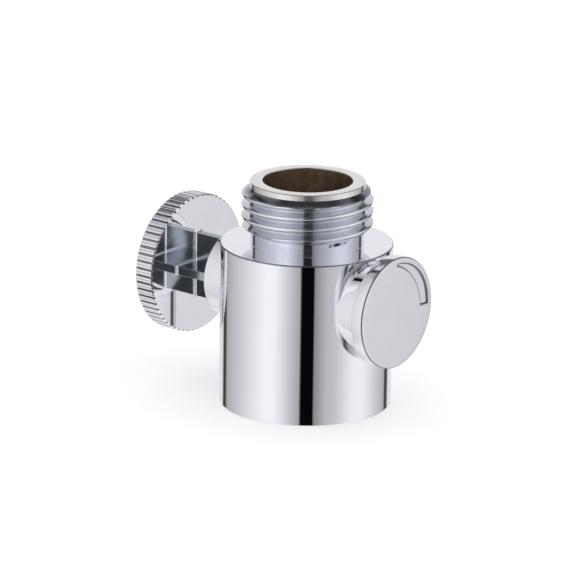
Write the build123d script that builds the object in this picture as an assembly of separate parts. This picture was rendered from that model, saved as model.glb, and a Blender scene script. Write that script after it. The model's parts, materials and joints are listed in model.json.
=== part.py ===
from build123d import *
import math
import os

# Shower flow control valve, in millimetres.
# The waterway stands along Z, and the origin lies on its axis at the bottom face of the body.
# The spindle lies along X, from the handwheel on the left to the indicator cap on the right.

# Valve body
body_r = 13.75
body_height = 26.3
body_edge = 0.35
side_neck_r = 7.1
side_neck_reach = 15.5
side_neck_edge = 0.3

# Outlet spigot, with an external G1/2 thread that is plain here at its major diameter
thread_r = 10.4775
thread_length = 7.2
thread_slope = 0.9
spigot_neck_r = 9.0
spigot_neck_height = 2.0
lead_r = 9.2
lead_height = 0.9
lead_edge = 0.25
outlet_bore_r = 7.15

# Inlet socket, with an internal G1/2 thread that is plain here at its minor diameter
socket_r = 9.3155
socket_depth = 11.0
socket_chamfer = 0.6
relief_r = 10.6
flare_r = 5.6
flare_depth = 0.4
ledge_thickness = 0.8
waterway_r = 3.6

# Inlet washer and filter screen
washer_r = 9.7
washer_hole_r = 5.6
washer_thickness = 2.2
washer_room = 0.2
screen_r = 6.9
screen_thickness = 0.5
screen_hole_r = 0.75
screen_pitch = 2.25
screen_rings = 2

# Flow spindle
plug_r = 5.0
plug_edge = 0.2
port_r = 3.4
journal_r = 3.0
journal_overrun = 0.2
drive_square = 4.0
right_end_setback = 0.5

# Seats that bear on the plug
seat_pocket_r = 4.6
seat_thickness = 0.94

# Gland bushes and the mouths of the side necks that hold them
mouth_r = 5.9
mouth_depth = 3.3
gland_barrel_length = 4.5
gland_setback = 1.0
hub_recess_depth = 2.1
gland_groove_offset = 3.1
gland_groove_width = 1.9
gland_groove_depth = 1.1
spindle_groove_offset = 1.2
spindle_groove_width = 1.5
spindle_groove_depth = 1.0
ring_slack = 0.12

# Thrust washers
thrust_thickness = 0.6

# Handwheel
wheel_r = 11.4
wheel_thickness = 3.55
rib_count = 60
rib_groove_width = 0.42
rib_groove_depth = 0.32
rib_end_chamfer = 0.2
dish_r = 8.8
dish_depth = 0.5
dish_slope = 0.5
stem_length = 6.4
stem_span = 10.7
stem_plate = 1.45
stem_fillet = 0.45
hub_play = 0.4
hub_stand_out = 0.7
hub_floor = 0.45
sleeve_r = 3.9

# Drive pin, which also stops the spindle after its quarter turn
pin_r = 0.7
window_wall = 0.5
turn_angle = 90
stop_margin = 12

# Indicator cap and what holds it
cap_r = 8.95
cap_wall = 0.9
cap_side_wall = 1.62
cap_edge = 0.22
wedge_margin = 0.9
wedge_tip_width = 0.55
wedge_middle_width = 1.95
wedge_end_width = 2.15
wedge_sweep = 92
wedge_depth = 0.35
carrier_floor = 0.9
carrier_thickness = 1.15
screw_r = 1.2
screw_hole_r = 1.6
screw_depth = 5.6
head_r = 2.6
head_height = 0.9
head_room = 0.13
head_slot = 0.55
end_washer_r = 2.9
end_washer_thickness = 0.4

# Clearances, and how far pieces run into each other where they are one casting or moulding
running = 0.06
seating = 0.03
axial = 0.05
side_play = 0.3
join = 0.5

# Places along the waterway
thread_base = body_height + spigot_neck_height
thread_top = thread_base + thread_length
spigot_top = thread_top + lead_height
thread_end = socket_depth - washer_thickness - washer_room
washer_base = socket_depth - washer_thickness
screen_base = socket_depth - screen_thickness
ledge_base = socket_depth + flare_depth
inlet_pocket_floor = ledge_base + ledge_thickness
cross_bore_r = plug_r + running
spindle_z = inlet_pocket_floor + seat_thickness + cross_bore_r
outlet_pocket_top = spindle_z + cross_bore_r + seat_thickness
outlet_bore_floor = outlet_pocket_top + ledge_thickness

# Places along the spindle, measured from the waterway to either side
mouth_floor = side_neck_reach - mouth_depth
gland_start = mouth_floor - gland_barrel_length
plug_half_length = gland_start - thrust_thickness - 2 * axial
gland_bore_r = journal_r + running
gland_r = cross_bore_r - seating
gland_groove_at = gland_start + gland_groove_offset
spindle_groove_at = gland_start + spindle_groove_offset
gland_end = side_neck_reach - gland_setback
recess_floor = gland_end - hub_recess_depth
journal_reach = recess_floor + journal_overrun
sleeve_end = recess_floor + side_play
hub_back = gland_end + side_play
hub_r = mouth_r - hub_play
hub_face_reach = side_neck_reach + hub_stand_out
left_end_reach = hub_face_reach - hub_floor - axial
wheel_face_reach = hub_face_reach + stem_length
wheel_back = wheel_face_reach + wheel_thickness
socket_square = drive_square + 2 * running
pin_at = (sleeve_end + hub_back) / 2
window_r = mouth_r - window_wall
pin_reach = window_r - side_play
right_end_reach = side_neck_reach - right_end_setback
carrier_back = side_neck_reach + side_play
carrier_front = carrier_back + carrier_thickness
carrier_r = cap_r - cap_side_wall - seating
carrier_seat = right_end_reach + axial + carrier_floor
head_seat = carrier_seat + end_washer_thickness
head_top = head_seat + head_height
cap_back = carrier_back + side_play
cap_ceiling = head_top + head_room
cap_face = cap_ceiling + cap_wall
wedge_outer_r = cap_r - wedge_margin

spindle_axis = Axis((0, 0, spindle_z), (1, 0, 0))
spindle_plane = Plane(origin=(0, 0, spindle_z), x_dir=(1, 0, 0), z_dir=(0, -1, 0))


def upright(outline):
    """A solid turned about the waterway, from (radius, height) points."""
    return revolve(Plane.XZ * make_face(Polyline(*outline, close=True)), Axis.Z)


def turned(outline):
    """A solid turned about the spindle, from (reach along X, radius) points."""
    return revolve(spindle_plane * make_face(Polyline(*outline, close=True)), spindle_axis)


def disc(start, end, radius):
    """A round bar on the spindle axis, between two places along X."""
    return turned([(start, 0), (end, 0), (end, radius), (start, radius)])


def ring(start, end, inner, outer):
    """A plain ring on the spindle axis, between two places along X."""
    return turned([(start, inner), (end, inner), (end, outer), (start, outer)])


def across(plane_x):
    """A sketch plane square to the spindle, seen from the right, with its own x along Y and y along Z."""
    return Plane(origin=(plane_x, 0, spindle_z), x_dir=(0, 1, 0), z_dir=(1, 0, 0))


def bar_across(start, end, sketch):
    """A sketch in the plane across the spindle, drawn out from one place along X to another."""
    return extrude(across(start) * sketch, amount=end - start)


def mirrored(solid):
    """The same piece on the other side of the waterway."""
    return mirror(solid, about=Plane.YZ)


def valve_body():
    column = upright([(0, 0), (body_r, 0), (body_r, body_height), (0, body_height)])
    column = fillet(column.edges().filter_by(GeomType.CIRCLE), body_edge)
    spigot = upright([
        (0, body_height - join),
        (spigot_neck_r, body_height - join),
        (spigot_neck_r, thread_base),
        (thread_r, thread_base + thread_slope),
        (thread_r, thread_top - thread_slope),
        (lead_r, thread_top),
        (lead_r, spigot_top - lead_edge),
        (lead_r - lead_edge, spigot_top),
        (0, spigot_top),
    ])
    necks = turned([
        (-side_neck_reach, 0),
        (-side_neck_reach, side_neck_r - side_neck_edge),
        (-side_neck_reach + side_neck_edge, side_neck_r),
        (side_neck_reach - side_neck_edge, side_neck_r),
        (side_neck_reach, side_neck_r - side_neck_edge),
        (side_neck_reach, 0),
    ])
    waterway = upright([
        (0, -socket_chamfer),
        (socket_r + 2 * socket_chamfer, -socket_chamfer),
        (socket_r, socket_chamfer),
        (socket_r, thread_end),
        (relief_r, thread_end),
        (relief_r, socket_depth),
        (flare_r, socket_depth),
        (flare_r, ledge_base),
        (waterway_r, ledge_base),
        (waterway_r, inlet_pocket_floor),
        (seat_pocket_r, inlet_pocket_floor),
        (seat_pocket_r, outlet_pocket_top),
        (waterway_r, outlet_pocket_top),
        (waterway_r, outlet_bore_floor),
        (outlet_bore_r, outlet_bore_floor),
        (outlet_bore_r, spigot_top + join),
        (0, spigot_top + join),
    ])
    cross_bore = turned([
        (-side_neck_reach - join, 0),
        (-side_neck_reach - join, mouth_r),
        (-mouth_floor, mouth_r),
        (-mouth_floor, cross_bore_r),
        (mouth_floor, cross_bore_r),
        (mouth_floor, mouth_r),
        (side_neck_reach + join, mouth_r),
        (side_neck_reach + join, 0),
    ])
    return column + spigot + necks - waterway - cross_bore


def flow_spindle():
    bar = turned([
        (-journal_reach, 0),
        (-journal_reach, journal_r),
        (-plug_half_length, journal_r),
        (-plug_half_length, plug_r - plug_edge),
        (-plug_half_length + plug_edge, plug_r),
        (plug_half_length - plug_edge, plug_r),
        (plug_half_length, plug_r - plug_edge),
        (plug_half_length, journal_r),
        (journal_reach, journal_r),
        (journal_reach, 0),
    ])
    square = bar_across(-left_end_reach, right_end_reach, Rectangle(drive_square, drive_square))
    square = square & disc(-left_end_reach, right_end_reach, journal_r)
    port = Location((0, 0, spindle_z)) * Cylinder(port_r, 4 * plug_r)
    pin_hole = Location((-pin_at, 0, spindle_z)) * Cylinder(pin_r, 4 * journal_r)
    tapped_hole = disc(carrier_seat - screw_depth - axial, right_end_reach + join, screw_r + seating)
    return bar + square - port - pin_hole - tapped_hole


def seat(pocket_floor, pocket_end):
    """A ring between a pocket's ledge and the plug, with its end hollowed to the plug."""
    height = pocket_end - pocket_floor
    blank = Cylinder(seat_pocket_r - seating, height) - Cylinder(port_r, height)
    blank = Location((0, 0, (pocket_floor + pocket_end) / 2)) * blank
    return blank - disc(-2 * plug_r, 2 * plug_r, cross_bore_r)


def gland_bush(has_windows):
    """The right-hand gland, in which the spindle's journal turns."""
    bush = turned([
        (gland_start, gland_bore_r),
        (gland_start, gland_r),
        (mouth_floor, gland_r),
        (mouth_floor, mouth_r - seating),
        (gland_end, mouth_r - seating),
        (gland_end, sleeve_r + side_play),
        (recess_floor, sleeve_r + side_play),
        (recess_floor, gland_bore_r),
    ])
    outer_groove = ring(gland_groove_at - gland_groove_width / 2, gland_groove_at + gland_groove_width / 2,
                        gland_r - gland_groove_depth, cross_bore_r)
    inner_groove = disc(spindle_groove_at - spindle_groove_width / 2, spindle_groove_at + spindle_groove_width / 2,
                        gland_bore_r + spindle_groove_depth)
    bush = bush - outer_groove - inner_groove
    if has_windows:
        for pin_angle in (0, 180):
            bush = bush - stop_window(pin_angle)
    return bush


def stop_window(pin_angle):
    """The room in the left-hand gland that one end of the drive pin sweeps, drawn on the right-hand side."""
    sweep = turn_angle + 2 * stop_margin
    far_corner = (window_r * math.cos(math.radians(sweep)), window_r * math.sin(math.radians(sweep)))
    sector = make_face([
        Line((0, 0), (window_r, 0)),
        CenterArc((0, 0), window_r, 0, sweep),
        Line(far_corner, (0, 0)),
    ])
    start = 90 - stop_margin + pin_angle
    return bar_across(recess_floor, gland_end + join, Rot(0, 0, start) * sector)


def packing_ring(centre, width, inner, outer):
    """An O-ring as it sits, a little flattened between its groove and the face it seals on."""
    section = Ellipse(width / 2 - ring_slack, (outer - inner) / 2 - seating)
    return revolve(spindle_plane * Pos(centre, (inner + outer) / 2) * section, spindle_axis)


def gland_seal():
    return packing_ring(gland_groove_at, gland_groove_width, gland_r - gland_groove_depth, cross_bore_r)


def spindle_seal():
    return packing_ring(spindle_groove_at, spindle_groove_width, journal_r, gland_bore_r + spindle_groove_depth)


def thrust_washer():
    start = plug_half_length + axial
    return ring(start, start + thrust_thickness, journal_r + running, cross_bore_r - 2 * running)


def wheel_rim():
    """The knurled disc: grooves cut along its rim, with the ends of the ribs bevelled."""
    groove = Polygon(
        (-rib_groove_depth, -rib_groove_width / 4),
        (rib_groove_depth, -rib_groove_width / 2),
        (rib_groove_depth, rib_groove_width / 2),
        (-rib_groove_depth, rib_groove_width / 4),
        align=None,
    )
    outline = Circle(wheel_r) - PolarLocations(wheel_r, rib_count) * groove
    knurled = bar_across(-wheel_back, -wheel_face_reach, outline)
    blank = turned([
        (-wheel_face_reach, 0),
        (-wheel_face_reach, wheel_r - rib_end_chamfer),
        (-wheel_face_reach - rib_end_chamfer, wheel_r),
        (-wheel_back + rib_end_chamfer, wheel_r),
        (-wheel_back, wheel_r - rib_end_chamfer),
        (-wheel_back, dish_r),
        (-wheel_back + dish_depth, dish_r - dish_slope),
        (-wheel_back + dish_depth, 0),
    ])
    return knurled & blank


def handwheel():
    plates = Rectangle(stem_span, stem_plate) + Rectangle(stem_plate, stem_span)
    stem = bar_across(-wheel_face_reach - join, -hub_face_reach + join, plates)
    hub = turned([
        (-hub_face_reach, 0),
        (-hub_face_reach, hub_r),
        (-hub_back, hub_r),
        (-hub_back, sleeve_r),
        (-sleeve_end, sleeve_r),
        (-sleeve_end, 0),
    ])
    wheel = wheel_rim() + stem + hub
    # The edges where the stem's plates grow out of the wheel's face
    axis_point = Vector(-wheel_face_reach, 0, spindle_z)
    face_edges = wheel.edges().filter_by_position(Axis.X, -wheel_face_reach, -wheel_face_reach)
    roots = face_edges.filter_by(lambda edge: (edge.center() - axis_point).length < stem_span / 2 + stem_fillet)
    wheel = fillet(roots, stem_fillet)
    socket = bar_across(-left_end_reach - axial, -sleeve_end + join, Rectangle(socket_square, socket_square))
    pin_hole = Location((-pin_at, 0, spindle_z)) * Cylinder(pin_r, 4 * sleeve_r)
    return wheel - socket - pin_hole


def drive_pin():
    pin = Location((-pin_at, 0, spindle_z)) * Cylinder(pin_r - seating, 2 * pin_reach)
    return chamfer(pin.edges().filter_by(GeomType.CIRCLE), pin_r / 4)


def cap_carrier():
    blank = turned([
        (sleeve_end, 0),
        (sleeve_end, sleeve_r),
        (hub_back, sleeve_r),
        (hub_back, hub_r),
        (carrier_back, hub_r),
        (carrier_back, carrier_r),
        (carrier_front, carrier_r),
        (carrier_front, end_washer_r + side_play),
        (carrier_seat, end_washer_r + side_play),
        (carrier_seat, 0),
    ])
    socket = bar_across(sleeve_end - join, right_end_reach + axial, Rectangle(socket_square, socket_square))
    return blank - socket - disc(right_end_reach, carrier_front, screw_hole_r)


def end_washer():
    return ring(carrier_seat, head_seat, screw_hole_r, end_washer_r)


def cap_screw():
    screw = disc(carrier_seat - screw_depth, head_seat + head_slot, screw_r) + disc(head_seat, head_top, head_r)
    screw = fillet(screw.edges().group_by(Axis.X)[-1], head_height / 2)
    slots = Rectangle(head_r, head_slot) + Rectangle(head_slot, head_r)
    return screw - bar_across(head_top - head_slot, head_top + join, slots)


def on_clock(radius, clock_angle):
    """A point on the cap's face, at an angle clockwise from the top as seen from the right."""
    return (radius * math.sin(math.radians(clock_angle)), radius * math.cos(math.radians(clock_angle)))


def flow_wedge():
    """The flow mark: an arc that widens clockwise through a quarter turn, drawn on the cap's face."""
    outer_start = on_clock(wedge_outer_r, 0)
    outer_end = on_clock(wedge_outer_r, wedge_sweep)
    inner_end = on_clock(wedge_outer_r - wedge_end_width, wedge_sweep)
    inner_middle = on_clock(wedge_outer_r - wedge_middle_width, wedge_sweep / 2)
    inner_start = on_clock(wedge_outer_r - wedge_tip_width, 0)
    tip = (-wedge_tip_width / 2, wedge_outer_r - wedge_tip_width / 2)
    return make_face([
        RadiusArc(outer_start, outer_end, wedge_outer_r),
        Line(outer_end, inner_end),
        ThreePointArc(inner_end, inner_middle, inner_start),
        ThreePointArc(inner_start, tip, outer_start),
    ])


def indicator_cap():
    cup = turned([
        (cap_back, carrier_r + seating),
        (cap_back, cap_r),
        (cap_face, cap_r),
        (cap_face, 0),
        (cap_ceiling, 0),
        (cap_ceiling, carrier_r + seating),
    ])
    rim = cup.edges().filter_by(GeomType.CIRCLE).group_by(Axis.X)[-1]
    cup = fillet(rim, cap_edge)
    return cup - bar_across(cap_face - wedge_depth, cap_face + join, flow_wedge())


def inlet_washer():
    return upright([
        (washer_hole_r, washer_base),
        (washer_r, washer_base),
        (washer_r, socket_depth),
        (screen_r + running, socket_depth),
        (screen_r + running, screen_base - axial),
        (washer_hole_r, screen_base - axial),
    ])


def filter_screen():
    sheet = Circle(screen_r) - Circle(screen_hole_r)
    for count in range(1, screen_rings + 1):
        sheet = sheet - PolarLocations(count * screen_pitch, 6 * count) * Circle(screen_hole_r)
    return extrude(Plane.XY.offset(screen_base) * sheet, amount=screen_thickness)


nodes = {
    "valve_body": valve_body(),
    "flow_spindle": flow_spindle(),
    "inlet_seat": seat(inlet_pocket_floor, spindle_z),
    "outlet_seat": seat(spindle_z, outlet_pocket_top),
    "right_gland_bush": gland_bush(has_windows=False),
    "left_gland_bush": mirrored(gland_bush(has_windows=True)),
    "right_gland_seal": gland_seal(),
    "left_gland_seal": mirrored(gland_seal()),
    "right_spindle_seal": spindle_seal(),
    "left_spindle_seal": mirrored(spindle_seal()),
    "right_thrust_washer": thrust_washer(),
    "left_thrust_washer": mirrored(thrust_washer()),
    "handwheel": handwheel(),
    "drive_pin": drive_pin(),
    "cap_carrier": cap_carrier(),
    "end_washer": end_washer(),
    "cap_screw": cap_screw(),
    "indicator_cap": indicator_cap(),
    "inlet_washer": inlet_washer(),
    "filter_screen": filter_screen(),
}

os.makedirs("parts", exist_ok=True)
for name, solid in nodes.items():
    export_step(solid, f"parts/{name}.step")
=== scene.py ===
import json
import math
import bmesh
import bpy
from mathutils import Matrix, Vector


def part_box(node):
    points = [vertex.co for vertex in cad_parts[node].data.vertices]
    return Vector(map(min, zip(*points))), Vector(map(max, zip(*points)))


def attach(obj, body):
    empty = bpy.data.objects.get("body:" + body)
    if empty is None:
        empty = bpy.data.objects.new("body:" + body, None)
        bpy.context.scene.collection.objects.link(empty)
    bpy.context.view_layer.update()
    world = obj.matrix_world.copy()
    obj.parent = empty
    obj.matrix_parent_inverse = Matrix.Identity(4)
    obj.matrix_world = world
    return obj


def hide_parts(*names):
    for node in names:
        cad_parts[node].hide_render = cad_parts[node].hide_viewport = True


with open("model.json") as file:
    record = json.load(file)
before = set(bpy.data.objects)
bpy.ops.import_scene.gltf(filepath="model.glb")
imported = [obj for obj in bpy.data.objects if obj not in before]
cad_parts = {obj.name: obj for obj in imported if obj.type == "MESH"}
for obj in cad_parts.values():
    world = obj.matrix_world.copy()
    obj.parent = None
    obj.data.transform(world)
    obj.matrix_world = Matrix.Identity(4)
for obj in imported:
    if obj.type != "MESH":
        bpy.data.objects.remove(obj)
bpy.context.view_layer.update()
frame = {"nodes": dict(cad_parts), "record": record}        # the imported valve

mm = 0.001
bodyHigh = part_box("valve_body")[1]
wheelLow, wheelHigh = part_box("handwheel")
capLow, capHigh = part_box("indicator_cap")
spindleZ = frame["record"]["behaviour"]["joints"][0]["pos_m"][2] / mm
roundSteps = 384                                   # facets round the body and cap
seam = 0.0005 * mm                                 # points closer than this are merged
overrun = 1                                        # how far a cutter stands past what it cuts
print("frame loaded:", len(frame["nodes"]), "nodes")


# Hand tools that every piece below is made with

def putAllDown():
    if bpy.context.mode != "OBJECT":
        bpy.ops.object.mode_set(mode="OBJECT")
    bpy.ops.object.select_all(action="DESELECT")


def pickUp(piece):
    putAllDown()
    piece.select_set(True)
    bpy.context.view_layer.objects.active = piece


def softCorner(before, corner, after, radius, count=6):
    toBefore = (Vector(before) - Vector(corner)).normalized()
    toAfter = (Vector(after) - Vector(corner)).normalized()
    half = toBefore.angle(toAfter) / 2
    centre = Vector(corner) + (toBefore + toAfter).normalized() * radius / math.sin(half)
    first = Vector(corner) + toBefore * radius / math.tan(half) - centre
    last = Vector(corner) + toAfter * radius / math.tan(half) - centre
    turn = math.atan2(first.x * last.y - first.y * last.x, first.dot(last))
    return [centre + Matrix.Rotation(turn * step / count, 2) @ first for step in range(count + 1)]


def softOutline(corners):
    # corners are (across, along, rounding), and the two ends stay sharp
    line = [Vector(corners[0][:2])]
    for before, corner, after in zip(corners, corners[1:], corners[2:]):
        if corner[2] > 0:
            line += softCorner(before[:2], corner[:2], after[:2], corner[2])
        else:
            line.append(Vector(corner[:2]))
    line.append(Vector(corners[-1][:2]))
    return line


def drawLine(name, points):
    # one vertex pulled out along the points
    putAllDown()
    bpy.ops.mesh.primitive_plane_add(size=mm, location=(0, 0, 0))
    piece = bpy.context.object
    piece.name = name
    bpy.ops.object.mode_set(mode="EDIT")
    bpy.ops.mesh.merge(type="CENTER")
    bpy.ops.transform.translate(value=points[0])
    for here, there in zip(points, points[1:]):
        bpy.ops.mesh.extrude_vertices_move(TRANSFORM_OT_translate={"value": there - here})
    return piece


def closeUp(piece):
    # seams merged, normals out
    pickUp(piece)
    bpy.ops.object.mode_set(mode="EDIT")
    bpy.ops.mesh.select_all(action="SELECT")
    bpy.ops.mesh.remove_doubles(threshold=seam)
    bpy.ops.mesh.dissolve_degenerate(threshold=seam / 10)
    bpy.ops.mesh.select_all(action="SELECT")
    bpy.ops.mesh.normals_make_consistent(inside=False)
    bpy.ops.object.mode_set(mode="OBJECT")


def spinUpright(name, line, steps=roundSteps):
    piece = drawLine(name, [Vector((point.x, 0, point.y)) * mm for point in line])
    bpy.ops.mesh.select_all(action="SELECT")
    bpy.ops.mesh.spin(steps=steps, angle=2 * math.pi, center=(0, 0, 0), axis=(0, 0, 1))
    closeUp(piece)
    return piece


def spinAcross(name, line, steps=roundSteps):
    piece = drawLine(name, [Vector((point.x, 0, spindleZ + point.y)) * mm for point in line])
    bpy.ops.mesh.select_all(action="SELECT")
    bpy.ops.mesh.spin(steps=steps, angle=2 * math.pi, center=(0, 0, spindleZ * mm), axis=(1, 0, 0))
    closeUp(piece)
    return piece


def drawSheet(name, points):
    # a closed outline, filled with one face
    piece = drawLine(name, points + points[:1])
    bpy.ops.mesh.select_all(action="SELECT")
    bpy.ops.mesh.remove_doubles(threshold=seam)
    bpy.ops.mesh.edge_face_add()
    return piece


def pullAcross(name, line, start, end):
    # a flat outline (y, z about the spindle) drawn out along X
    piece = drawSheet(name, [Vector((start, point.x, spindleZ + point.y)) * mm for point in line])
    bpy.ops.mesh.extrude_region_move(TRANSFORM_OT_translate={"value": ((end - start) * mm, 0, 0)})
    closeUp(piece)
    return piece


def carve(piece, tool, operation):
    pickUp(piece)
    cut = piece.modifiers.new(operation.lower(), "BOOLEAN")
    cut.operation = operation
    cut.solver = "EXACT"
    cut.object = tool
    bpy.ops.object.modifier_apply(modifier=cut.name)
    bpy.data.objects.remove(tool, do_unlink=True)


def joinUp(pieces):
    pickUp(pieces[0])
    for piece in pieces[1:]:
        piece.select_set(True)
    bpy.ops.object.join()
    closeUp(pieces[0])
    return pieces[0]


def smoothOff(piece, angle):
    pickUp(piece)
    bpy.ops.object.shade_smooth_by_angle(angle=math.radians(angle))
    weigh = piece.modifiers.new("weigh", "WEIGHTED_NORMAL")
    weigh.keep_sharp = True
    bpy.ops.object.modifier_apply(modifier=weigh.name)


def dress(piece, finishes, choose):
    # choose gives the finish of each face
    piece.data.materials.clear()
    for finish in finishes:
        piece.data.materials.append(finish)
    for face in piece.data.polygons:
        face.material_index = finishes.index(choose(face))


# Finishes

surface = dict(
    detail=5.0, darkTo=0.3, brightFrom=0.7, dent=0.02,           # clouding of every finish, dents in mm
    turnedGrain=900, turnedSpread=0.2, ringScale=0.314, ringWobble=0.4, ringDepth=0.01,
    softSpread=0.08,
)


def metalFinish(name, bright, dark, roughLow, roughHigh, grain, relief):
    finish = bpy.data.materials.new(name)
    finish.use_nodes = True
    nodes, links = finish.node_tree.nodes, finish.node_tree.links
    shader = nodes["Principled BSDF"]
    shader.inputs["Metallic"].default_value = 1.0
    where = nodes.new("ShaderNodeTexCoord")
    cloud = nodes.new("ShaderNodeTexNoise")
    cloud.inputs["Scale"].default_value = grain
    cloud.inputs["Detail"].default_value = surface["detail"]
    links.new(where.outputs["Object"], cloud.inputs["Vector"])
    tone = nodes.new("ShaderNodeValToRGB")
    tone.color_ramp.elements[0].position = surface["darkTo"]
    tone.color_ramp.elements[0].color = (*dark, 1)
    tone.color_ramp.elements[1].position = surface["brightFrom"]
    tone.color_ramp.elements[1].color = (*bright, 1)
    links.new(cloud.outputs["Fac"], tone.inputs["Fac"])
    links.new(tone.outputs["Color"], shader.inputs["Base Color"])
    polish = nodes.new("ShaderNodeMapRange")
    polish.inputs["To Min"].default_value = roughLow
    polish.inputs["To Max"].default_value = roughHigh
    links.new(cloud.outputs["Fac"], polish.inputs["Value"])
    links.new(polish.outputs["Result"], shader.inputs["Roughness"])
    if relief > 0:
        bump = nodes.new("ShaderNodeBump")
        bump.inputs["Strength"].default_value = relief
        bump.inputs["Distance"].default_value = surface["dent"] * mm
        links.new(cloud.outputs["Fac"], bump.inputs["Height"])
        links.new(bump.outputs["Normal"], shader.inputs["Normal"])
    return finish


def turnedFinish(name, bright, dark, roughness, pitch, relief):
    # fine rings left by the lathe, round the waterway
    smooth, rough = roughness * (1 - surface["turnedSpread"]), roughness * (1 + surface["turnedSpread"])
    finish = metalFinish(name, bright, dark, smooth, rough, surface["turnedGrain"], 0)
    nodes, links = finish.node_tree.nodes, finish.node_tree.links
    where = nodes.new("ShaderNodeTexCoord")
    rings = nodes.new("ShaderNodeTexWave")
    rings.wave_type = "RINGS"
    rings.rings_direction = "Z"
    rings.inputs["Scale"].default_value = surface["ringScale"] / (pitch * mm)
    rings.inputs["Distortion"].default_value = surface["ringWobble"]
    links.new(where.outputs["Object"], rings.inputs["Vector"])
    bump = nodes.new("ShaderNodeBump")
    bump.inputs["Strength"].default_value = relief
    bump.inputs["Distance"].default_value = surface["ringDepth"] * mm
    links.new(rings.outputs["Fac"], bump.inputs["Height"])
    links.new(bump.outputs["Normal"], nodes["Principled BSDF"].inputs["Normal"])
    return finish


def darkAbove(finish, low, high, dark):
    # the finish goes over to a darker tone between two heights
    nodes, links = finish.node_tree.nodes, finish.node_tree.links
    shader = nodes["Principled BSDF"]
    plain = shader.inputs["Base Color"].links[0].from_socket
    where = nodes.new("ShaderNodeTexCoord")
    parts = nodes.new("ShaderNodeSeparateXYZ")
    links.new(where.outputs["Object"], parts.inputs["Vector"])
    rise = nodes.new("ShaderNodeMapRange")
    rise.inputs["From Min"].default_value = low * mm
    rise.inputs["From Max"].default_value = high * mm
    links.new(parts.outputs["Z"], rise.inputs["Value"])
    blend = nodes.new("ShaderNodeMixRGB")
    blend.inputs["Color2"].default_value = (*dark, 1)
    links.new(rise.outputs["Result"], blend.inputs["Fac"])
    links.new(plain, blend.inputs["Color1"])
    links.new(blend.outputs["Color"], shader.inputs["Base Color"])


def softFinish(name, light, deep, roughness, grain, relief):
    spread = surface["softSpread"]
    finish = metalFinish(name, light, deep, roughness - spread, roughness + spread, grain, relief)
    finish.node_tree.nodes["Principled BSDF"].inputs["Metallic"].default_value = 0.0
    return finish


bodyChrome = metalFinish("body_chrome", (0.93, 0.93, 0.95), (0.90, 0.90, 0.925), 0.015, 0.035, 220, 0.006)
wheelChrome = metalFinish("wheel_chrome", (0.93, 0.93, 0.95), (0.90, 0.90, 0.925), 0.02, 0.05, 260, 0.01)
# painted shade: a darker grey-blue copy of the chrome, for the stem's plates between the wheel face and the
# hub and for the crease along each rib's crown
stemShadeChrome = metalFinish("stem_chrome_painted_shade", (0.52, 0.57, 0.61), (0.44, 0.49, 0.53), 0.12, 0.22, 300, 0.25)
# painted shade: a dark chrome for the knurl's grooves
groovePaintedShade = metalFinish("groove_painted_shade", (0.40, 0.40, 0.42), (0.28, 0.28, 0.30), 0.30, 0.45, 700, 0.1)
# painted shade: a dark chrome for the border step and sloped walls round the cap's wedge
wedgePaintedShade = metalFinish("wedge_painted_shade", (0.26, 0.26, 0.28), (0.19, 0.19, 0.205), 0.25, 0.4, 700, 0.1)
capChrome = metalFinish("cap_chrome", (0.92, 0.92, 0.95), (0.89, 0.89, 0.925), 0.02, 0.05, 240, 0.008)
# painted shade and highlight: the thread's flanks and roots take this darker chrome, while its crests keep
# the bright body chrome
threadShadeChrome = metalFinish("thread_chrome_painted_shade", (0.70, 0.73, 0.77), (0.62, 0.65, 0.70), 0.07, 0.13, 500, 0.05)
flankPaintedShade = dict(low=34.62, high=34.95, dark=(0.20, 0.205, 0.21))       # painted shade on the last turn, under the lead ring
darkAbove(threadShadeChrome, **flankPaintedShade)
# painted shade: a darker, bluer copy of the body chrome for the spigot's plain neck
neckShadeChrome = metalFinish("neck_chrome_painted_shade", (0.77, 0.79, 0.87), (0.69, 0.71, 0.79), 0.06, 0.09, 400, 0)
# painted shade: a dark chrome for the edge fillets along the body's top and round the cap's face
edgePaintedShade = metalFinish("edge_painted_shade", (0.34, 0.34, 0.36), (0.26, 0.26, 0.28), 0.08, 0.16, 500, 0.02)
rimNickel = turnedFinish("rim_nickel", (0.86, 0.84, 0.81), (0.80, 0.78, 0.74), 0.16, 0.12, 0.1)
boreBrown = turnedFinish("bore_brown", (0.68, 0.56, 0.44), (0.52, 0.42, 0.33), 0.32, 0.3, 0.15)
socketNickel = turnedFinish("socket_nickel", (0.78, 0.77, 0.75), (0.66, 0.65, 0.62), 0.22, 0.2, 0.15)
spindleBrass = turnedFinish("spindle_brass", (0.84, 0.66, 0.34), (0.70, 0.52, 0.24), 0.24, 0.15, 0.2)
brushedSteel = metalFinish("washer_steel", (0.68, 0.69, 0.70), (0.55, 0.56, 0.57), 0.22, 0.36, 900, 0.15)
screenSteel = metalFinish("screen_steel", (0.64, 0.65, 0.66), (0.50, 0.51, 0.52), 0.25, 0.40, 1100, 0.2)
seatWhite = softFinish("seat_white", (0.88, 0.88, 0.86), (0.80, 0.80, 0.77), 0.45, 600, 0.1)
glandGrey = softFinish("gland_plastic", (0.74, 0.75, 0.75), (0.66, 0.67, 0.67), 0.42, 500, 0.15)
sealRubber = softFinish("seal_rubber", (0.030, 0.030, 0.032), (0.018, 0.018, 0.020), 0.55, 1200, 0.3)
washerRubber = softFinish("washer_rubber", (0.040, 0.040, 0.042), (0.022, 0.022, 0.024), 0.62, 1000, 0.4)

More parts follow.
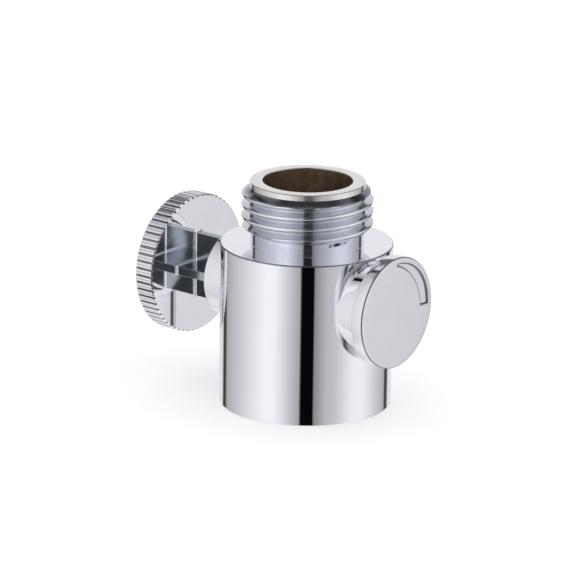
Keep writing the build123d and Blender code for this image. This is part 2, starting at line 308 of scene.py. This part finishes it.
nodeFinish = {
    "flow_spindle": spindleBrass,
    "inlet_seat": seatWhite,
    "outlet_seat": seatWhite,
    "left_gland_bush": glandGrey,
    "right_gland_bush": glandGrey,
    "cap_carrier": glandGrey,
    "left_gland_seal": sealRubber,
    "right_gland_seal": sealRubber,
    "left_spindle_seal": sealRubber,
    "right_spindle_seal": sealRubber,
    "left_thrust_washer": brushedSteel,
    "right_thrust_washer": brushedSteel,
    "end_washer": brushedSteel,
    "drive_pin": brushedSteel,
    "cap_screw": brushedSteel,
    "inlet_washer": washerRubber,
    "filter_screen": screenSteel,
}
for nodeName, finish in nodeFinish.items():
    mesh = frame["nodes"][nodeName].data
    mesh.materials.clear()
    mesh.materials.append(finish)
print("finishes made:", len(bpy.data.materials))


# Valve body: column, spigot and side necks, cast as one

body = dict(
    radius=bodyHigh[1] / mm, height=26.3, edge=0.2,
    neckRadius=7.1, neckReach=bodyHigh[0] / mm, neckEdge=0.3, neckRoot=9.0,
    mouthRadius=5.9, mouthDepth=3.3, crossBore=5.06,
    spigotNeck=9.0, threadBase=28.3, threadTop=35.5, threadRun=0.9,
    leadRadius=9.2, leadEdge=0.25, top=bodyHigh[2] / mm, outletBore=7.15, outletFloor=25.0,
    waterway=3.6, pocketRadius=4.6, pocketLow=12.2, pocketHigh=24.2,
    flareRadius=5.6, flareTop=11.4, socketTop=11.0, reliefRadius=10.6, reliefBase=8.6,
    socketRadius=9.3155, socketChamfer=0.6, threadMajor=10.4775,
    pitch=1.814, crestAtLeft=34.3, leftAngle=218.9, threadFade=0.08, spareTurns=3, paintedCrestShine=0.06,
    boreEdge=0.12, neckFoot=0.12, smoothAngle=32, wallSlack=0.004,
    slack=0.05, fineSlack=0.02, socketSpan=11,                   # where one finish ends and the next starts
)
# one turn of the thread's section: share of the pitch, share of the depth
threadForm = [(-0.5, 0), (-0.43, 0.02), (-0.37, 0.10), (-0.14, 0.90), (-0.08, 0.98), (0, 1),
              (0.08, 0.98), (0.14, 0.90), (0.37, 0.10), (0.43, 0.02), (0.5, 0)]


def threadSleeve(name, low, lowRadius, high, highRadius):
    # a helical wall between two plain rings, run out into them at both ends
    pitch = body["pitch"]
    depth = body["threadMajor"] - body["socketRadius"]
    crest = body["crestAtLeft"] - pitch * body["leftAngle"] / 360
    while crest > low - pitch:
        crest -= pitch
    line = [Vector((body["socketRadius"] + depth * rise, 0, crest + pitch * share)) * mm
            for share, rise in threadForm]
    piece = drawLine(name, line)
    pickUp(piece)
    wind = piece.modifiers.new("wind", "SCREW")
    wind.axis = "Z"
    wind.angle = 2 * math.pi
    wind.screw_offset = pitch * mm
    wind.steps = wind.render_steps = roundSteps
    wind.iterations = math.ceil((high - low) / pitch) + body["spareTurns"]
    wind.use_merge_vertices = True
    wind.merge_threshold = seam
    bpy.ops.object.modifier_apply(modifier=wind.name)
    for vertex in piece.data.vertices:
        reach = vertex.co.xy.length / mm
        height = vertex.co.z / mm
        if height <= low + body["threadFade"]:
            height, reach = low, lowRadius
        elif height >= high - body["threadFade"]:
            height, reach = high, highRadius
        else:
            rise = (body["threadMajor"] - lowRadius) / body["threadRun"]
            fall = (body["threadMajor"] - highRadius) / body["threadRun"]
            reach = min(reach, lowRadius + rise * (height - low), highRadius + fall * (high - height))
        flat = vertex.co.xy.normalized() * reach * mm
        vertex.co = (flat.x, flat.y, height * mm)
    closeUp(piece)
    return piece


def makeBody():
    upper = spinUpright("valve_body_skin", softOutline([
        (body["leadRadius"], body["threadTop"], 0),
        (body["leadRadius"], body["top"], body["leadEdge"]),
        (body["outletBore"], body["top"], body["boreEdge"]),
        (body["outletBore"], body["outletFloor"], 0),
        (body["waterway"], body["outletFloor"], 0),
        (body["waterway"], body["pocketHigh"], 0),
        (body["pocketRadius"], body["pocketHigh"], 0),
        (body["pocketRadius"], body["pocketLow"], 0),
        (body["waterway"], body["pocketLow"], 0),
        (body["waterway"], body["flareTop"], 0),
        (body["flareRadius"], body["flareTop"], 0),
        (body["flareRadius"], body["socketTop"], 0),
        (body["reliefRadius"], body["socketTop"], 0),
        (body["reliefRadius"], body["reliefBase"], 0),
        (body["socketRadius"], body["reliefBase"], 0),
    ]))
    lower = spinUpright("valve_body_lower", softOutline([
        (body["socketRadius"], body["socketChamfer"], 0),
        (body["socketRadius"] + body["socketChamfer"], 0, 0),
        (body["radius"], 0, body["edge"]),
        (body["radius"], body["height"], body["edge"]),
        (body["spigotNeck"], body["height"], body["neckFoot"]),
        (body["spigotNeck"], body["threadBase"], 0),
    ]))
    outletThread = threadSleeve("outlet_thread", body["threadBase"], body["spigotNeck"],
                                body["threadTop"], body["leadRadius"])
    inletThread = threadSleeve("inlet_thread", body["socketChamfer"], body["socketRadius"],
                               body["reliefBase"], body["socketRadius"])
    skin = joinUp([upper, lower, outletThread, inletThread])
    print("body turned:", len(skin.data.polygons), "faces")
    for side in (-1, 1):
        neck = spinAcross("side_neck", softOutline([
            (side * body["neckRoot"], 0, 0),
            (side * body["neckRoot"], body["neckRadius"], 0),
            (side * body["neckReach"], body["neckRadius"], body["neckEdge"]),
            (side * body["neckReach"], 0, 0),
        ]))
        carve(skin, neck, "UNION")
    mouthFloor = body["neckReach"] - body["mouthDepth"]
    beyond = body["neckReach"] + overrun
    bore = spinAcross("cross_bore", softOutline([
        (-beyond, 0, 0),
        (-beyond, body["mouthRadius"], 0),
        (-mouthFloor, body["mouthRadius"], 0),
        (-mouthFloor, body["crossBore"], 0),
        (mouthFloor, body["crossBore"], 0),
        (mouthFloor, body["mouthRadius"], 0),
        (beyond, body["mouthRadius"], 0),
        (beyond, 0, 0),
    ]))
    carve(skin, bore, "DIFFERENCE")
    smoothOff(skin, body["smoothAngle"])
    trueWalls(skin)
    return skin


def trueWalls(skin):
    # the column, the spigot's neck and the side necks keep the normals of true cylinders
    mesh = skin.data
    normals = [corner.vector.copy() for corner in mesh.corner_normals]
    for face in mesh.polygons:
        spots = [mesh.vertices[number].co / mm for number in face.vertices]
        column = [Vector((spot.x, spot.y, 0)) for spot in spots]
        necks = [Vector((0, spot.y, spot.z - spindleZ)) for spot in spots]
        walls = ((column, body["radius"]), (column, body["spigotNeck"]), (necks, body["neckRadius"]))
        for spokes, reach in walls:
            if all(abs(spoke.length - reach) < body["wallSlack"] for spoke in spokes):
                for loop, spoke in zip(face.loop_indices, spokes):
                    normals[loop] = spoke.normalized()
                break
    mesh.normals_split_custom_set(normals)


def bodyFinish(face):
    reach = face.center.xy.length / mm
    height = face.center.z / mm
    slack, fineSlack = body["slack"], body["fineSlack"]
    if height > body["threadTop"] and reach > body["outletBore"] - 2 * slack:
        return rimNickel
    if height > body["outletFloor"] - slack and reach < body["outletBore"] + slack:
        return boreBrown
    # painted highlight: faces near the thread's crests take the bright body chrome
    if height > body["threadBase"] and reach > body["threadMajor"] - body["paintedCrestShine"]:
        return bodyChrome
    # painted shade: the thread's flanks and roots take the darker thread chrome
    if height > body["threadBase"] and reach > body["spigotNeck"]:
        return threadShadeChrome
    # painted shade: the fillet along the column's top edge takes the dark edge finish
    onEdge = body["height"] - body["edge"] < height < body["height"]
    if onEdge and fineSlack < face.normal.z < 1 - fineSlack:
        return edgePaintedShade
    # painted shade: the spigot's plain neck takes the darker, bluer neck chrome
    onNeck = body["height"] + 2 * slack < height < body["threadBase"]
    if onNeck and reach < body["spigotNeck"] + fineSlack:
        return neckShadeChrome
    inSocket = height < body["pocketHigh"] and reach < body["reliefRadius"] + slack
    if inSocket and abs(face.center.x / mm) < body["socketSpan"]:
        return socketNickel
    return bodyChrome


bodySkin = makeBody()
dress(bodySkin, [bodyChrome, threadShadeChrome, rimNickel, boreBrown, socketNickel, neckShadeChrome, edgePaintedShade],
      bodyFinish)
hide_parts("valve_body")
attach(bodySkin, "valve")
print("body done:", len(bodySkin.data.polygons), "faces")


# Handwheel: knurled disc, cross stem and hub, moulded as one

wheel = dict(
    radius=11.4, back=wheelLow[0] / mm, face=-22.6, ribs=60, endBevel=0.2,
    grooveDepth=0.32, dishRadius=8.8, dishDepth=0.5, dishSlope=0.5, dishEdge=0.2, dishSteps=240,
    hubFace=-16.2, hubBack=-14.8, hubRadius=5.5, hubEdge=0.15, hubSteps=192,
    sleeveRadius=3.9, sleeveEnd=wheelHigh[0] / mm, square=4.12, squareEnd=-15.75,
    stemSpan=10.7, stemPlate=1.45, stemCorner=0.14, cornerSteps=3,
    wheelFillet=0.45, hubFillet=0.35, filletSteps=6, sink=0.3, smoothAngle=28,
    slack=0.02, grooveFrom=0.1, grooveTo=0.6, facesAlong=0.5,    # where one finish ends and the next starts
)
ribPitch = 360 / wheel["ribs"]
# half of one rib: degrees from the middle of a groove, and depth, with a fine crease along its crown
ribForm = [(0.45, 1.0), (0.90, 0.16), (1.20, 0.03), (1.60, 0.0), (2.72, 0.0), (3.0, 0.1)]


def makeRim():
    line = []
    for angle, depth in ribForm:
        reach = wheel["radius"] - wheel["grooveDepth"] * depth
        line.append((angle, reach))
    line += [(ribPitch - angle, reach) for angle, reach in reversed(line[:-1])]
    points = []
    for angle, reach in line:
        points.append(Vector((wheel["face"], reach * math.sin(math.radians(angle)),
                              spindleZ + reach * math.cos(math.radians(angle)))) * mm)
    firstNext = Matrix.Rotation(math.radians(-ribPitch), 4, "X")
    centre = Vector((0, 0, spindleZ)) * mm
    points.append(firstNext @ (points[0] - centre) + centre)
    rim = drawLine("handwheel_skin", points)
    bpy.ops.mesh.select_all(action="SELECT")
    bpy.ops.mesh.spin(steps=wheel["ribs"], angle=2 * math.pi, center=centre, axis=(1, 0, 0), dupli=True)
    bpy.ops.mesh.select_all(action="SELECT")
    bpy.ops.mesh.remove_doubles(threshold=2 * seam)
    bpy.ops.mesh.select_all(action="SELECT")
    bevel = wheel["endBevel"]
    width = wheel["back"] - wheel["face"]
    full, trimmed = wheel["radius"], wheel["radius"] - bevel
    setRing(rim, trimmed)
    for step, most in ((-bevel, full), (width + 2 * bevel, full), (-bevel, trimmed)):
        bpy.ops.mesh.extrude_edges_move(TRANSFORM_OT_translate={"value": (step * mm, 0, 0)})
        setRing(rim, most)
    bpy.ops.mesh.edge_face_add()
    bpy.ops.mesh.select_all(action="DESELECT")
    pickPlane(rim, wheel["face"])
    bpy.ops.mesh.edge_face_add()
    closeUp(rim)
    return rim


def pickPlane(piece, plane):
    mesh = bmesh.from_edit_mesh(piece.data)
    for vertex in mesh.verts:
        vertex.select = abs(vertex.co.x / mm - plane) < wheel["slack"]
    mesh.select_flush(True)
    bmesh.update_edit_mesh(piece.data)


def ribReach(angle):
    # radius of the knurl at an angle about the spindle, in degrees
    share = angle % ribPitch
    share = min(share, ribPitch - share)
    for (near, high), (far, low) in zip([(0, 1.0)] + ribForm, ribForm):
        if share <= far:
            depth = high + (low - high) * (share - near) / (far - near)
            return wheel["radius"] - wheel["grooveDepth"] * depth
    return wheel["radius"]


def setRing(piece, most):
    # the picked ring takes the knurl's form, trimmed to a largest radius
    mesh = bmesh.from_edit_mesh(piece.data)
    for vertex in mesh.verts:
        if vertex.select:
            y, z = vertex.co.y, vertex.co.z - spindleZ * mm
            reach = min(ribReach(math.degrees(math.atan2(y, z))), most) * mm
            scale = reach / math.hypot(y, z)
            vertex.co.y, vertex.co.z = y * scale, spindleZ * mm + z * scale
    bmesh.update_edit_mesh(piece.data)


def stemOutline(grow):
    # a cross, with its outer corners eased, as (y, z) points
    half, plate = wheel["stemSpan"] / 2 + grow, wheel["stemPlate"] / 2 + grow
    corner, steps = wheel["stemCorner"], wheel["cornerSteps"]
    arm = [(plate, plate)]
    arm += softCorner((plate, plate), (half, plate), (half, -plate), corner, steps)
    arm += softCorner((half, plate), (half, -plate), (plate, -plate), corner, steps)
    line = []
    for quarter in range(4):
        turn = Matrix.Rotation(-quarter * math.pi / 2, 2)
        line += [turn @ Vector(point) for point in arm]
    return line


def makeStem():
    # rings along the stem and how far its outline grows there, in a fillet at each end
    steps = wheel["filletSteps"]
    leans = [math.radians(90 * step / steps) for step in range(steps + 1)]
    rings = [(wheel["face"] - wheel["sink"], wheel["wheelFillet"])]
    for lean in leans:
        rings.append((wheel["face"] + wheel["wheelFillet"] * (1 - math.cos(lean)),
                      wheel["wheelFillet"] * (1 - math.sin(lean))))
    for lean in reversed(leans):
        rings.append((wheel["hubFace"] - wheel["hubFillet"] * (1 - math.cos(lean)),
                      wheel["hubFillet"] * (1 - math.sin(lean))))
    rings.append((wheel["hubFace"] + wheel["sink"], wheel["hubFillet"]))
    start = [Vector((rings[0][0], point.x, spindleZ + point.y)) * mm for point in stemOutline(rings[0][1])]
    stem = drawSheet("stem", start)
    for (last, _), (along, grow) in zip(rings, rings[1:]):
        bpy.ops.mesh.extrude_region_move(TRANSFORM_OT_translate={"value": ((along - last) * mm, 0, 0)})
        line = stemOutline(grow)
        mesh = bmesh.from_edit_mesh(stem.data)
        for vertex in mesh.verts:
            if vertex.select:
                here = Vector((vertex.co.y, vertex.co.z - spindleZ * mm)) / mm
                spot = min(line, key=lambda point: (point - here).length)
                vertex.co.y, vertex.co.z = spot.x * mm, (spindleZ + spot.y) * mm
        bmesh.update_edit_mesh(stem.data)
    closeUp(stem)
    return stem


def makeHub():
    return spinAcross("hub", softOutline([
        (wheel["hubFace"], 0, 0),
        (wheel["hubFace"], wheel["hubRadius"], wheel["hubEdge"]),
        (wheel["hubBack"], wheel["hubRadius"], wheel["hubEdge"]),
        (wheel["hubBack"], wheel["sleeveRadius"], 0),
        (wheel["sleeveEnd"], wheel["sleeveRadius"], 0),
        (wheel["sleeveEnd"], 0, 0),
    ]), wheel["hubSteps"])


def makeWheel():
    skin = makeRim()
    dishFloor = wheel["back"] + wheel["dishDepth"]
    dish = spinAcross("dish", softOutline([
        (wheel["back"] - overrun, 0, 0),
        (wheel["back"] - overrun, wheel["dishRadius"] + overrun, 0),
        (dishFloor, wheel["dishRadius"] - wheel["dishSlope"], wheel["dishEdge"]),
        (dishFloor, 0, 0),
    ]), wheel["dishSteps"])
    carve(skin, dish, "DIFFERENCE")
    carve(skin, makeStem(), "UNION")
    carve(skin, makeHub(), "UNION")
    half = wheel["square"] / 2
    square = [Vector((half, half)), Vector((half, -half)), Vector((-half, -half)), Vector((-half, half))]
    carve(skin, pullAcross("square", square, wheel["squareEnd"], wheel["sleeveEnd"] + overrun), "DIFFERENCE")
    smoothOff(skin, wheel["smoothAngle"])
    return skin


def wheelFinish(face):
    along, y, z = face.center.x / mm, face.center.y / mm, face.center.z / mm - spindleZ
    sunk = wheel["radius"] - math.hypot(y, z)
    plateStart = wheel["face"] + wheel["wheelFillet"] - wheel["slack"]
    plateEnd = wheel["hubFace"] - wheel["hubFillet"] + wheel["slack"]
    # painted shade: the stem's plates between the wheel face and the hub take the darker stem chrome
    if plateStart < along < plateEnd:
        return stemShadeChrome
    looksOut = abs(face.normal.x) < wheel["facesAlong"]
    # painted shade: faces sunk into the knurl's grooves take the dark groove finish
    if looksOut and wheel["grooveFrom"] < sunk < wheel["grooveTo"]:
        return groovePaintedShade
    fromCrown = abs(math.degrees(math.atan2(y, z)) % ribPitch - ribPitch / 2)
    if looksOut and sunk < wheel["grooveFrom"] and fromCrown < ribPitch / 2 - ribForm[-2][0]:
        return stemShadeChrome                              # the crease, given the darker stem chrome as a painted shade line along each rib's crown
    return wheelChrome


wheelSkin = makeWheel()
dress(wheelSkin, [wheelChrome, stemShadeChrome, groovePaintedShade], wheelFinish)
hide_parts("handwheel")
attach(wheelSkin, "rotor")
print("handwheel done:", len(wheelSkin.data.polygons), "faces")


# Indicator cap: a shallow cup with the flow wedge sunk in its face

cap = dict(
    radius=capHigh[1] / mm, back=capLow[0] / mm, face=capHigh[0] / mm, edge=0.22, backEdge=0.1,
    innerRadius=7.33, wall=0.9,
    wedgeRadius=8.05, tipWidth=0.55, middleWidth=1.95, endWidth=2.15, sweep=92, wedgeDepth=0.27,
    crown=0.05, crownShares=(0.9, 0.75, 0.6, 0.45, 0.3, 0.15), border=0.17, wedgeSlope=0.1,
    arcSteps=48, tipSteps=8, smoothAngle=30,
    # where one finish ends and the next starts
    wedgeSlack=0.02, floorSlack=0.01, borderFrom=0.93, flat=0.9, edgeTilt=(0.1, 0.95),
)


def onClock(radius, angle):
    return Vector((radius * math.sin(math.radians(angle)), radius * math.cos(math.radians(angle))))


def arcThrough(first, middle, last, count):
    # centre of the circle through three points, then even steps along it
    a, b = middle - first, last - first
    cross = 2 * (a.x * b.y - a.y * b.x)
    offset = Vector((b.y * a.length_squared - a.y * b.length_squared,
                     a.x * b.length_squared - b.x * a.length_squared)) / cross
    spoke, end = -offset, last - first - offset
    turn = math.atan2(spoke.x * end.y - spoke.y * end.x, spoke.dot(end))
    return [first + offset + Matrix.Rotation(turn * step / count, 2) @ spoke for step in range(count + 1)]


def wedgeOutline():
    radius, tipWidth, steps = cap["wedgeRadius"], cap["tipWidth"], cap["arcSteps"]
    outer = [onClock(radius, cap["sweep"] * step / steps) for step in range(steps + 1)]
    inner = arcThrough(onClock(radius - cap["endWidth"], cap["sweep"]),
                       onClock(radius - cap["middleWidth"], cap["sweep"] / 2),
                       onClock(radius - tipWidth, 0), steps)
    tip = arcThrough(inner[-1], Vector((-tipWidth / 2, radius - tipWidth / 2)), outer[0], cap["tipSteps"])
    return outer + inner + tip[1:-1]


def makeCap():
    ceiling = cap["face"] - cap["wall"]
    crownLine = [(cap["face"] - cap["crown"] * share ** 2, cap["radius"] * share, 0)
                 for share in cap["crownShares"]]
    skin = spinAcross("indicator_cap_skin", softOutline([
        (ceiling, 0, 0),
        (ceiling, cap["innerRadius"], 0),
        (cap["back"], cap["innerRadius"], 0),
        (cap["back"], cap["radius"], cap["backEdge"]),
        (cap["face"] - cap["crown"], cap["radius"], cap["edge"]),
        *crownLine,
        (cap["face"], 0, 0),
    ]))
    carve(skin, wedgeCutter(), "DIFFERENCE")
    smoothOff(skin, cap["smoothAngle"])
    return skin


def wedgeCutter():
    # a fine border step round the outline, then sloped walls in to the floor; the step and the walls carry
    # the painted shade round the wedge
    level = cap["face"] - cap["crown"]
    cutter = pullAcross("wedge", wedgeOutline(), cap["face"] + overrun, level)
    pickUp(cutter)
    bpy.ops.object.mode_set(mode="EDIT")
    bpy.ops.mesh.select_mode(type="FACE")
    bpy.ops.mesh.select_all(action="DESELECT")
    mesh = bmesh.from_edit_mesh(cutter.data)
    for face in mesh.faces:
        face.select = face.normal.x < -cap["flat"]
    bmesh.update_edit_mesh(cutter.data)
    bpy.ops.mesh.inset(thickness=cap["border"] * mm, depth=0)
    bpy.ops.mesh.inset(thickness=cap["wedgeSlope"] * mm, depth=(cap["wedgeDepth"] - cap["crown"]) * mm)
    bpy.ops.mesh.select_mode(type="VERT")
    closeUp(cutter)
    return cutter


def capFinish(face):
    reach = math.hypot(face.center.y / mm, face.center.z / mm - spindleZ)
    sunk = cap["face"] - face.center.x / mm
    inWedge = reach < cap["wedgeRadius"] + cap["wedgeSlack"] and sunk < cap["wedgeDepth"] - cap["floorSlack"]
    onBorder = sunk > cap["crown"] * cap["borderFrom"]
    # painted shade: the border step and the sloped walls round the wedge take the dark wedge finish, while
    # the wedge's floor keeps the bright cap chrome
    if inWedge and (onBorder or face.normal.x < cap["flat"]):
        return wedgePaintedShade
    # painted shade: the fillet round the cap's face takes the dark edge finish
    least, most = cap["edgeTilt"]
    onEdge = reach > cap["radius"] - cap["edge"] and least < face.normal.x < most
    return edgePaintedShade if onEdge else capChrome


capSkin = makeCap()
dress(capSkin, [capChrome, wedgePaintedShade, edgePaintedShade], capFinish)
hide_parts("indicator_cap")
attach(capSkin, "rotor")
print("cap done:", len(capSkin.data.polygons), "faces")


# Camera, at the photograph's angle

shot = dict(azimuth=38.888, elevation=17.202, roll=0.734, distance=674.974, aimRight=-2.908, aimHeight=18.566,
            lens=265.35, sensor=36)


def setCamera():
    azimuth, elevation = math.radians(shot["azimuth"]), math.radians(shot["elevation"])
    flatRight = Vector((math.cos(azimuth), math.sin(azimuth), 0))
    away = Vector((math.sin(azimuth) * math.cos(elevation), -math.cos(azimuth) * math.cos(elevation),
                   math.sin(elevation)))
    flatUp = away.cross(flatRight)
    roll = math.radians(shot["roll"])
    right = flatRight * math.cos(roll) + flatUp * math.sin(roll)
    up = flatUp * math.cos(roll) - flatRight * math.sin(roll)
    aim = (right * shot["aimRight"] + Vector((0, 0, shot["aimHeight"]))) * mm
    bpy.ops.object.camera_add()
    camera = bpy.context.object
    camera.matrix_world = Matrix.Translation(aim + away * shot["distance"] * mm) @ Matrix(
        (right, up, away)).transposed().to_4x4()
    camera.data.lens = shot["lens"]
    camera.data.sensor_width = shot["sensor"]
    camera.data.clip_start = 0.01
    bpy.context.scene.camera = camera


putAllDown()
setCamera()
print("camera set")


# Studio: a pale tent round the valve, brighter and darker by turns, on a white sweep

studio = dict(
    # degrees round from the camera to the right, and the grey that the chrome shows there
    tent=[(-180, 0.86), (-146, 0.74), (-142, 0.06), (-134, 0.06), (-130, 0.42), (-90, 0.70),
          (-56, 0.98), (-42, 0.97), (-15, 0.50), (-7.6, 0.40), (-6.8, "gap"), (10.6, "gap"),
          (11.4, 0.26), (28, 0.52), (40, 0.58), (66, 0.92), (82, 0.94), (108, 0.64),
          (130, 0.46), (134, 0.06), (142, 0.06), (146, 0.74), (180, 0.86)],
    # height of the look, and how far the gap behind the camera is closed there
    gapShut=[(-0.345, 1), (-0.330, 0), (-0.283, 0), (-0.274, 1),
             (0.274, 1), (0.283, 0), (0.330, 0), (0.345, 1), (0.45, 1), (0.60, 0)],
    gapDark=0.002, gapPale=0.12,
    # where the roof and the sweep take over, as parts of a look of length one
    roofRise=(0.79, 0.92), farRoofRise=(0.40, 0.54), farRoofReach=(0.50, 0.70), sweepFall=(-0.60, -0.86),
    tint=(0.985, 0.985, 1.03), roof=(0.15, 0.152, 0.16), sweep=(0.93, 0.93, 0.94), fill=0.85,
    floorSize=600, floorDrop=0.02, floorGrey=0.90, floorLift=0.32,
)


def rampOf(nodes, stops, tint):
    ramp = nodes.new("ShaderNodeValToRGB")
    marks = ramp.color_ramp.elements
    marks.remove(marks[-1])
    for number, (spot, grey) in enumerate(stops):
        mark = marks[0] if number == 0 else marks.new(spot)
        mark.position = spot
        mark.color = (*[grey * channel for channel in tint], 1)
    return ramp


def tentRamp(nodes, gapGrey):
    stops = [((angle + 180) / 360, gapGrey if grey == "gap" else grey) for angle, grey in studio["tent"]]
    return rampOf(nodes, stops, studio["tint"])


def easeIn(nodes, links, value, low, high):
    rise = nodes.new("ShaderNodeMapRange")
    rise.interpolation_type = "SMOOTHSTEP"
    rise.inputs["From Min"].default_value = low
    rise.inputs["From Max"].default_value = high
    links.new(value, rise.inputs["Value"])
    return rise.outputs["Result"]


def setStudio():
    world = bpy.data.worlds.new("studio")
    bpy.context.scene.world = world
    world.use_nodes = True
    nodes, links = world.node_tree.nodes, world.node_tree.links
    nodes.clear()
    look = nodes.new("ShaderNodeTexCoord")
    turn = nodes.new("ShaderNodeMapping")
    turn.vector_type = "POINT"
    turn.inputs["Rotation"].default_value[2] = -math.radians(shot["azimuth"])
    links.new(look.outputs["Generated"], turn.inputs["Vector"])
    parts = nodes.new("ShaderNodeSeparateXYZ")
    links.new(turn.outputs["Vector"], parts.inputs["Vector"])
    back = nodes.new("ShaderNodeMath")
    back.operation = "MULTIPLY"
    back.inputs[1].default_value = -1.0
    links.new(parts.outputs["Y"], back.inputs[0])
    bearing = nodes.new("ShaderNodeMath")
    bearing.operation = "ARCTAN2"
    links.new(parts.outputs["X"], bearing.inputs[0])
    links.new(back.outputs[0], bearing.inputs[1])
    share = nodes.new("ShaderNodeMapRange")
    share.inputs["From Min"].default_value = -math.pi
    share.inputs["From Max"].default_value = math.pi
    links.new(bearing.outputs[0], share.inputs["Value"])
    openTent, shutTent = tentRamp(nodes, studio["gapDark"]), tentRamp(nodes, studio["gapPale"])
    links.new(share.outputs["Result"], openTent.inputs["Fac"])
    links.new(share.outputs["Result"], shutTent.inputs["Fac"])
    level = nodes.new("ShaderNodeMapRange")
    level.inputs["From Min"].default_value = -1.0
    links.new(parts.outputs["Z"], level.inputs["Value"])
    gap = rampOf(nodes, [((lift + 1) / 2, shut) for lift, shut in studio["gapShut"]], (1, 1, 1))
    links.new(level.outputs["Result"], gap.inputs["Fac"])
    tent = nodes.new("ShaderNodeMixRGB")
    links.new(gap.outputs["Color"], tent.inputs["Fac"])
    links.new(openTent.outputs["Color"], tent.inputs["Color1"])
    links.new(shutTent.outputs["Color"], tent.inputs["Color2"])
    # the tent ends in a dark roof, lower at the far end, and the white sweep underfoot
    away, height = parts.outputs["Y"], parts.outputs["Z"]
    farRoof = nodes.new("ShaderNodeMath")
    farRoof.operation = "MULTIPLY"
    links.new(easeIn(nodes, links, height, *studio["farRoofRise"]), farRoof.inputs[0])
    links.new(easeIn(nodes, links, away, *studio["farRoofReach"]), farRoof.inputs[1])
    roofAmount = easeIn(nodes, links, height, *studio["roofRise"])
    sweepAmount = easeIn(nodes, links, height, *studio["sweepFall"])
    shade = tent.outputs["Color"]
    for amount, colour in ((farRoof.outputs[0], studio["roof"]), (roofAmount, studio["roof"]),
                           (sweepAmount, studio["sweep"])):
        blend = nodes.new("ShaderNodeMixRGB")
        blend.inputs["Color2"].default_value = (*colour, 1)
        links.new(amount, blend.inputs["Fac"])
        links.new(shade, blend.inputs["Color1"])
        shade = blend.outputs["Color"]
    mirrored = nodes.new("ShaderNodeBackground")
    links.new(shade, mirrored.inputs["Color"])
    plain = nodes.new("ShaderNodeBackground")
    plain.inputs["Color"].default_value = (1, 1, 1, 1)
    fill = nodes.new("ShaderNodeBackground")
    fill.inputs["Color"].default_value = (studio["fill"], studio["fill"], studio["fill"], 1)
    path = nodes.new("ShaderNodeLightPath")
    byGloss = nodes.new("ShaderNodeMixShader")
    links.new(path.outputs["Is Glossy Ray"], byGloss.inputs["Fac"])
    links.new(fill.outputs[0], byGloss.inputs[1])
    links.new(mirrored.outputs[0], byGloss.inputs[2])
    byView = nodes.new("ShaderNodeMixShader")
    links.new(path.outputs["Is Camera Ray"], byView.inputs["Fac"])
    links.new(byGloss.outputs[0], byView.inputs[1])
    links.new(plain.outputs[0], byView.inputs[2])
    end = nodes.new("ShaderNodeOutputWorld")
    links.new(byView.outputs[0], end.inputs["Surface"])


def setFloor():
    putAllDown()
    bpy.ops.mesh.primitive_plane_add(size=studio["floorSize"] * mm,
                                     location=(0, 0, -studio["floorDrop"] * mm))
    floor = bpy.context.object
    floor.name = "floor"
    floor.visible_glossy = False                   # the metal sees the tent, not the sheet
    sheet = bpy.data.materials.new("floor_sheet")
    sheet.use_nodes = True
    nodes, links = sheet.node_tree.nodes, sheet.node_tree.links
    nodes.clear()
    matt = nodes.new("ShaderNodeBsdfDiffuse")
    matt.inputs["Color"].default_value = (studio["floorGrey"], studio["floorGrey"], studio["floorGrey"], 1)
    lift = nodes.new("ShaderNodeEmission")
    path = nodes.new("ShaderNodeLightPath")
    seen = nodes.new("ShaderNodeMath")
    seen.operation = "MULTIPLY"
    seen.inputs[1].default_value = studio["floorLift"]
    links.new(path.outputs["Is Camera Ray"], seen.inputs[0])
    links.new(seen.outputs[0], lift.inputs["Strength"])
    both = nodes.new("ShaderNodeAddShader")
    links.new(matt.outputs[0], both.inputs[0])
    links.new(lift.outputs[0], both.inputs[1])
    end = nodes.new("ShaderNodeOutputMaterial")
    links.new(both.outputs[0], end.inputs["Surface"])
    floor.data.materials.append(sheet)


setStudio()
setFloor()
bpy.context.scene.view_settings.view_transform = "Standard"
print("studio set")
